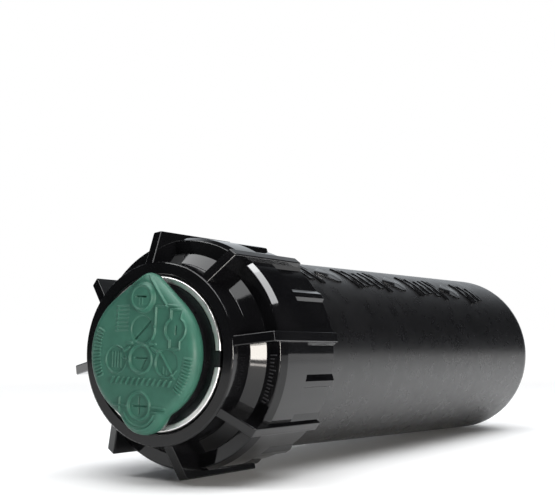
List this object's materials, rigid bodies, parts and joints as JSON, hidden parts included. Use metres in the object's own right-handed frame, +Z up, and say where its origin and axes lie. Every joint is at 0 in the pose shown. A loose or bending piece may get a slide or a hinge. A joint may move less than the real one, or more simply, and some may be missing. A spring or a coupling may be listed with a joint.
{
  "type": "pop-up sprinkler",
  "caption": "Gear driven pop-up sprinkler: ribbed screw cap over a cylindrical case, spring retracted riser, turning turret with side nozzle, steel ring and rubber cover.",
  "frame": {"origin": "centre of the inlet mouth, the middle of the lowest face", "axes": "+Z up the axis from the inlet to the cover; -Y the way the nozzle and the cover's point face; +X completes the right hand"},
  "size_m": [0.056, 0.056, 0.187],
  "materials": {
    "case_plastic": "satin black moulded plastic",
    "cap_plastic": "glossy black moulded plastic",
    "turret_plastic": "black moulded plastic",
    "inner_plastic": "dark moulded plastic",
    "acetal": "off-white acetal",
    "screen_plastic": "grey moulded plastic",
    "nozzle_plastic": "red moulded plastic",
    "seal_rubber": "black seal rubber",
    "cover_rubber": "green moulded rubber",
    "stainless": "turned or drawn stainless steel",
    "ring_steel": "bright polished stainless steel",
    "spring_steel": "drawn spring wire",
    "brass": "turned brass"
  },
  "bodies": {
    "case": {"case_body": "case_plastic", "screw_cap": "cap_plastic", "cap_gasket": "seal_rubber", "wiper_seal": "seal_rubber", "seal_retainer": "inner_plastic", "retract_spring": "spring_steel"},
    "riser": {"riser_tube": "inner_plastic", "riser_sleeve": "stainless", "ratchet_ring": "acetal", "filter_screen": "screen_plastic", "stator": "acetal", "bypass_spring": "spring_steel", "gearbox_shell": "inner_plastic", "gearbox_lid": "inner_plastic", "lay_pin": "stainless", "input_bush": "brass", "output_bush": "brass", "shaft_seal": "seal_rubber", "thrust_washer": "acetal"},
    "bypass_valve": {"bypass_poppet": "acetal"},
    "turbine": {"turbine_wheel": "acetal", "turbine_shaft": "stainless", "input_pinion": "acetal"},
    "gear_1": {"cluster_gear_1": "acetal"},
    "gear_2": {"cluster_gear_2": "acetal"},
    "gear_3": {"cluster_gear_3": "acetal"},
    "trip": {"shift_plate": "acetal", "trip_rod": "stainless", "trip_lever": "acetal", "trip_spring": "spring_steel"},
    "turret": {"turret_body": "turret_plastic", "output_gear": "acetal", "output_shaft": "stainless", "retaining_clip": "stainless", "stem_o_ring": "seal_rubber", "thrust_ring": "acetal", "lip_ring": "ring_steel", "nozzle": "nozzle_plastic", "nozzle_gasket": "seal_rubber", "rubber_cover": "cover_rubber"},
    "arc_ring": {"arc_ring": "acetal"},
    "arc_screw": {"arc_screw": "stainless"},
    "radius_screw": {"radius_screw": "stainless"},
    "flow_screw": {"flow_screw": "stainless"},
    "flow_valve": {"flow_valve": "acetal"}
  },
  "joints": [
    {"name": "riser_slide", "type": "slide", "parent": "case", "child": "riser", "axis": [0, 0, 1], "range_m": [0, 0.102], "stiffness_N_per_m": 250, "springref_m": -0.06, "deforming": ["retract_spring"]},
    {"name": "bypass_lift", "type": "slide", "parent": "riser", "child": "bypass_valve", "axis": [0, 0, 1], "range_m": [0, 0.0025], "stiffness_N_per_m": 400, "springref_m": -0.002, "deforming": ["bypass_spring"]},
    {"name": "turret_turn", "type": "hinge", "parent": "riser", "child": "turret", "pos_m": [0, 0, 0.1], "axis": [0, 0, 1], "range_deg": [-180, 180]},
    {"name": "turbine_spin", "type": "hinge", "parent": "riser", "child": "turbine", "pos_m": [0, 0, 0.1], "axis": [0, 0, 1], "range_deg": [-2880, 2880]},
    {"name": "gear_1_spin", "type": "hinge", "parent": "riser", "child": "gear_1", "pos_m": [0.0054, 0, 0.1], "axis": [0, 0, 1], "range_deg": [-1440, 1440]},
    {"name": "gear_2_spin", "type": "hinge", "parent": "riser", "child": "gear_2", "pos_m": [0, 0, 0.1], "axis": [0, 0, 1], "range_deg": [-720, 720]},
    {"name": "gear_3_spin", "type": "hinge", "parent": "riser", "child": "gear_3", "pos_m": [0.0054, 0, 0.1], "axis": [0, 0, 1], "range_deg": [-360, 360]},
    {"name": "trip_swing", "type": "hinge", "parent": "riser", "child": "trip", "pos_m": [0, 0, 0.1], "axis": [0, 0, 1], "range_deg": [-10, 10]},
    {"name": "arc_set", "type": "hinge", "parent": "turret", "child": "arc_ring", "pos_m": [0, 0, 0.1], "axis": [0, 0, 1], "range_deg": [-150, 150]},
    {"name": "arc_screw_turn", "type": "hinge", "parent": "turret", "child": "arc_screw", "pos_m": [0, 0.0112, 0.1], "axis": [0, 0, 1], "range_deg": [-784, 784]},
    {"name": "radius_screw_travel", "type": "slide", "parent": "turret", "child": "radius_screw", "axis": [0, 0, -1], "range_m": [0, 0.005]},
    {"name": "flow_screw_turn", "type": "hinge", "parent": "turret", "child": "flow_screw", "pos_m": [0, 0.0011, 0.1], "axis": [0, 0, 1], "range_deg": [0, 1800]},
    {"name": "flow_valve_travel", "type": "slide", "parent": "turret", "child": "flow_valve", "axis": [0, 0, -1], "range_m": [0, 0.005]}
  ],
  "couplings": [
    {"joint": "turbine_spin", "follows": "turret_turn", "ratio": 16},
    {"joint": "gear_1_spin", "follows": "turret_turn", "ratio": -8},
    {"joint": "gear_2_spin", "follows": "turret_turn", "ratio": 4},
    {"joint": "gear_3_spin", "follows": "turret_turn", "ratio": -2},
    {"joint": "arc_screw_turn", "follows": "arc_set", "ratio": -5.2222},
    {"joint": "flow_screw_turn", "follows": "flow_valve_travel", "rad_per_m": 6283.1}
  ]
}
